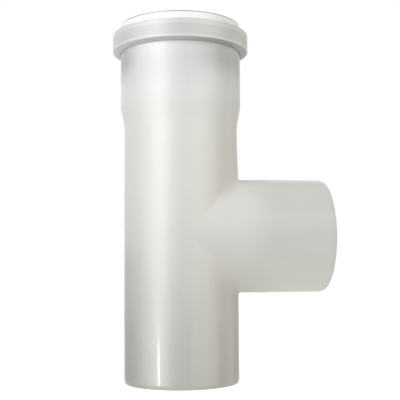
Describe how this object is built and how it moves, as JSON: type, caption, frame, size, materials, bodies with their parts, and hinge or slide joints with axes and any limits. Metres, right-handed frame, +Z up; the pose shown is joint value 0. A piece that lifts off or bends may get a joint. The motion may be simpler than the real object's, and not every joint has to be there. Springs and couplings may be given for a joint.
{
  "type": "tee fitting",
  "caption": "White translucent plastic tee fitting with a straight run, a square side branch, plain spigot ends below and beside, and a sealed push-fit socket with a turning collar on top.",
  "frame": {"origin": "centre of the run's lower spigot end, on the run's axis, so the part stands on the ground plane", "axes": "+Z up the run towards the socket, +X along the branch and out of its spigot, +Y away from the viewer's side"},
  "size_m": [0.149, 0.096, 0.25],
  "materials": {
    "milky_plastic": "satin, milky and slightly translucent moulded polypropylene",
    "collar_plastic": "satin moulded polypropylene, a shade greyer where the dark seal lies behind it",
    "mouth_plastic": "satin white moulded polypropylene",
    "seal_rubber": "smooth dark rubber, lightly greased"
  },
  "bodies": {
    "tee": {"run_tube": "milky_plastic", "branch_tube": "milky_plastic"},
    "seal_set": {"seal_collar": "collar_plastic", "mouth_ring": "mouth_plastic", "lip_seal": "seal_rubber"}
  },
  "joints": [
    {"name": "collar_turn", "type": "hinge", "parent": "tee", "child": "seal_set", "pos_m": [0, 0, 0.2368], "axis": [0, 0, 1], "continuous": true}
  ]
}
